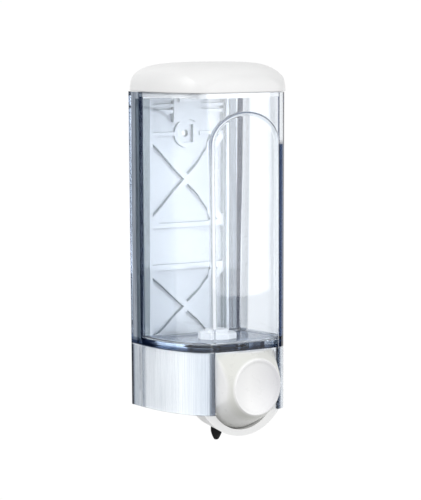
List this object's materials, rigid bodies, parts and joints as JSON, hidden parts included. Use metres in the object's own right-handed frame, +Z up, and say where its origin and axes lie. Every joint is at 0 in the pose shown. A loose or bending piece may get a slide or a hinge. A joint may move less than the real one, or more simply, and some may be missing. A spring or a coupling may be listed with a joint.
{
  "type": "wall mounted soap dispenser",
  "caption": "Refillable wall soap dispenser: clear tank and skirt on a ribbed wall plate, domed white lid, push lever with a round dished pad and a black nozzle.",
  "frame": {"origin": "on the wall plane, at the middle of the wall plate's back", "axes": "+Z up, +Y into the wall, so -Y faces the user, +X to the user's right"},
  "size_m": [0.0942, 0.089, 0.2563],
  "materials": {
    "clear_plastic": "gloss",
    "white_plastic": "satin",
    "plate_plastic": "satin",
    "pump_plastic": "satin",
    "black_rubber": "matte",
    "seal_rubber": "matte",
    "steel": "satin"
  },
  "bodies": {
    "bracket": {"wall_plate": "plate_plastic"},
    "reservoir": {"reservoir_shell": "clear_plastic", "lower_housing": "white_plastic", "pump_body": "pump_plastic", "lever_pin": "steel", "front_retainer": "pump_plastic", "pump_end_cap": "pump_plastic", "end_cap_oring": "seal_rubber", "inlet_seat": "pump_plastic", "inlet_spring": "steel", "outlet_gasket": "seal_rubber", "pump_lock_nut": "pump_plastic", "inlet_strainer": "pump_plastic", "outlet_nozzle": "black_rubber", "nozzle_collar": "pump_plastic", "housing_screws": "steel", "return_spring": "steel"},
    "lid": {"lid": "white_plastic", "latch_spring": "steel"},
    "latch": {"lock_latch": "white_plastic"},
    "lever": {"push_lever": "white_plastic"},
    "plunger": {"plunger": "pump_plastic", "piston_seal": "seal_rubber"},
    "inlet_ball": {"inlet_ball": "steel"}
  },
  "joints": [
    {"name": "reservoir_lift", "type": "slide", "parent": "bracket", "child": "reservoir", "axis": [0, 0, 1], "range_m": [0, 0.01]},
    {"name": "lid_lift", "type": "slide", "parent": "reservoir", "child": "lid", "axis": [0, 0, 1], "range_m": [0, 0.06]},
    {"name": "latch_release", "type": "slide", "parent": "lid", "child": "latch", "axis": [0, 0, 1], "range_m": [0, 0.003], "stiffness_N_per_m": 300, "springref_m": -0.003, "deforming": ["latch_spring"]},
    {"name": "lever_push", "type": "hinge", "parent": "reservoir", "child": "lever", "pos_m": [0, -0.069, -0.071], "axis": [1, 0, 0], "range_deg": [0, 12], "stiffness_Nm_per_rad": 0.3, "springref_deg": -14.32},
    {"name": "plunger_stroke", "type": "slide", "parent": "reservoir", "child": "plunger", "axis": [0, 1, 0], "range_m": [0, 0.0047], "deforming": ["return_spring"]},
    {"name": "ball_drop", "type": "slide", "parent": "reservoir", "child": "inlet_ball", "axis": [0, 0, -1], "range_m": [0, 0.002], "stiffness_N_per_m": 40, "springref_m": -0.002, "deforming": ["inlet_spring"]}
  ],
  "couplings": [
    {"joint": "plunger_stroke", "follows": "lever_push", "m_per_rad": 0.022}
  ]
}
